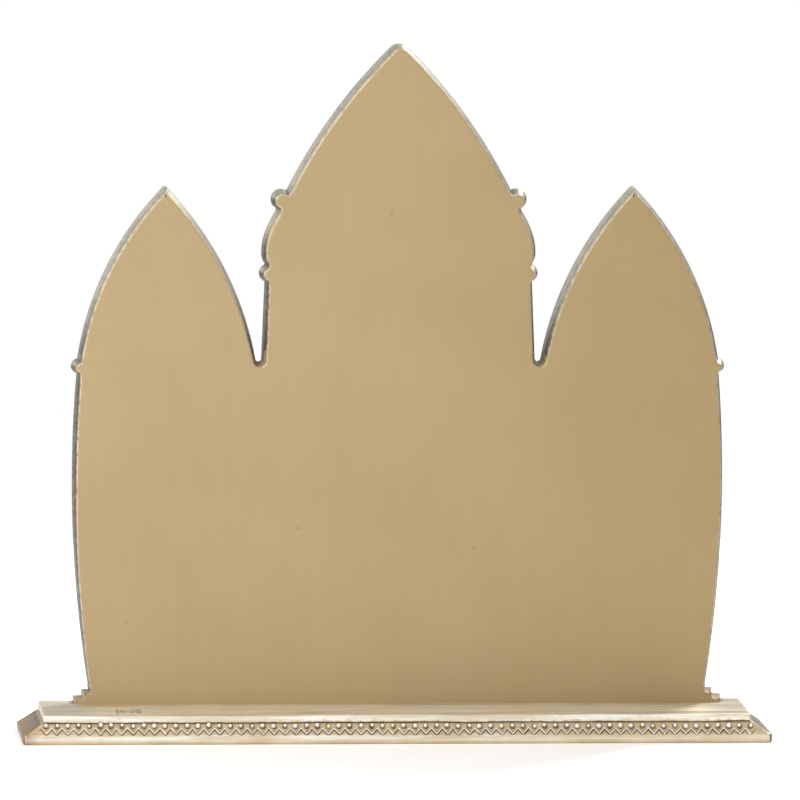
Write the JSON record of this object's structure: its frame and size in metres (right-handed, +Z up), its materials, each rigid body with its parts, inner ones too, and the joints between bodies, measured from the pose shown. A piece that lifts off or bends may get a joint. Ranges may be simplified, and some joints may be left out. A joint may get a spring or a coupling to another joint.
{
  "type": "nativity statue",
  "caption": "Tabletop nativity plaque: three pointed arches with a nativity relief on the front and a flat back, standing on a long moulded base.",
  "frame": {"origin": "middle of the underside of the base", "axes": "+Z up, -Y towards the viewer of the relief, so the flat back faces +Y, +X to the right seen from the front"},
  "size_m": [0.327, 0.064, 0.3031],
  "materials": {
    "painted_resin": "satin tan-gold paint over cast filled resin, edges and base antiqued in champagne silver with ivory highlights and a dark brown wash"
  },
  "bodies": {
    "root": {"nativity_triptych": "painted_resin"}
  },
  "joints": []
}
